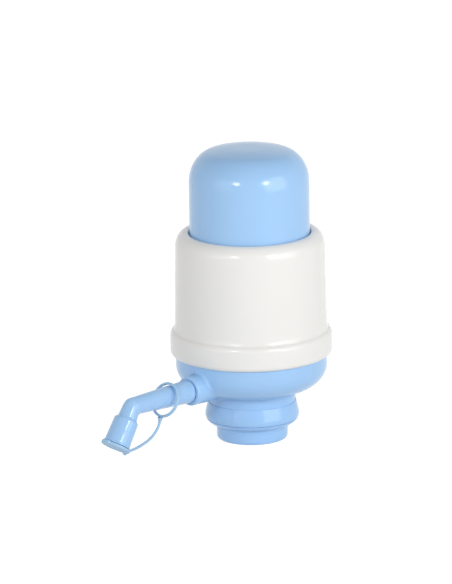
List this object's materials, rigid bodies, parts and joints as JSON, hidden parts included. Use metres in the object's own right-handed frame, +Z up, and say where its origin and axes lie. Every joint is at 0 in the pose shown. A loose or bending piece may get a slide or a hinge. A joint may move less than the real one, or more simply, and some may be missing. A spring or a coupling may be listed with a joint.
{
  "type": "water jug hand pump",
  "caption": "Hand pump for a water jug: a sprung dome works a bellows that blows air into the jug and drives water out of a bent side spout with a lid on a strap.",
  "frame": {"origin": "on the pump's axis at the level of the skirt's bottom rim, the middle of the mouth that the jug's neck enters", "axes": "+Z up along the pump's axis, -Y along the level spout away from the pump, +X to the right of someone who looks along +Y; mirror-symmetric about x = 0 but for the inner screws and vents"},
  "size_m": [0.0968, 0.1709, 0.1792],
  "materials": {
    "blue_plastic": "light sky-blue moulded plastic, glossy",
    "white_plastic": "off-white moulded plastic, glossy",
    "soft_plastic": "pale-blue soft plastic, satin and slightly cloudy",
    "inner_plastic": "plain white moulded plastic",
    "seal_rubber": "pale grey silicone rubber",
    "bellows_rubber": "pale grey flexible moulded rubber",
    "spring_steel": "drawn stainless wire",
    "screw_steel": "stainless, plain"
  },
  "bodies": {
    "base": {"base_bowl": "blue_plastic", "housing_shell": "white_plastic", "neck_gasket": "seal_rubber", "base_gasket": "seal_rubber", "valve_plate": "inner_plastic", "outlet_valve": "seal_rubber", "bellows_clamp": "inner_plastic", "clamp_screw_1": "screw_steel", "clamp_screw_2": "screw_steel", "clamp_screw_3": "screw_steel", "bellows": "bellows_rubber", "return_spring": "spring_steel"},
    "press": {"press_dome": "blue_plastic", "bellows_head": "inner_plastic", "inlet_valve": "seal_rubber", "head_screw_1": "screw_steel", "head_screw_2": "screw_steel", "head_screw_3": "screw_steel"},
    "adapter": {"neck_adapter": "blue_plastic", "adapter_seal": "seal_rubber", "bottle_gasket": "seal_rubber"},
    "collar": {"neck_collar": "blue_plastic"},
    "spout": {"spout_tube": "blue_plastic", "spout_seal_1": "seal_rubber", "spout_seal_2": "seal_rubber", "lid_strap": "soft_plastic"},
    "loop": {"retaining_loop": "soft_plastic"},
    "lid": {"spout_lid": "soft_plastic"}
  },
  "joints": [
    {"name": "dome_press", "type": "slide", "parent": "base", "child": "press", "axis": [0, 0, -1], "range_m": [0, 0.034], "stiffness_N_per_m": 600, "springref_m": -0.01, "deforming": ["bellows", "return_spring"]},
    {"name": "spout_swivel", "type": "hinge", "parent": "base", "child": "spout", "pos_m": [0, -0.045, 0.0387], "axis": [0, -1, 0], "continuous": true},
    {"name": "lid_pull", "type": "slide", "parent": "spout", "child": "lid", "axis": [0, -0.5373, -0.8434], "range_m": [0, 0.01], "deforming": ["lid_strap"]},
    {"name": "loop_slide", "type": "slide", "parent": "spout", "child": "loop", "axis": [0, -1, 0], "range_m": [0, 0.008]},
    {"name": "adapter_drop", "type": "slide", "parent": "base", "child": "adapter", "axis": [0, 0, -1], "range_m": [0, 0.009]},
    {"name": "collar_turn", "type": "hinge", "parent": "adapter", "child": "collar", "pos_m": [0, 0, 0.016], "axis": [0, 0, -1], "range_deg": [0, 1080]}
  ],
  "couplings": [
    {"joint": "loop_slide", "follows": "lid_pull", "ratio": 0.8},
    {"joint": "collar_turn", "follows": "adapter_drop", "rad_per_m": 2094.4}
  ]
}
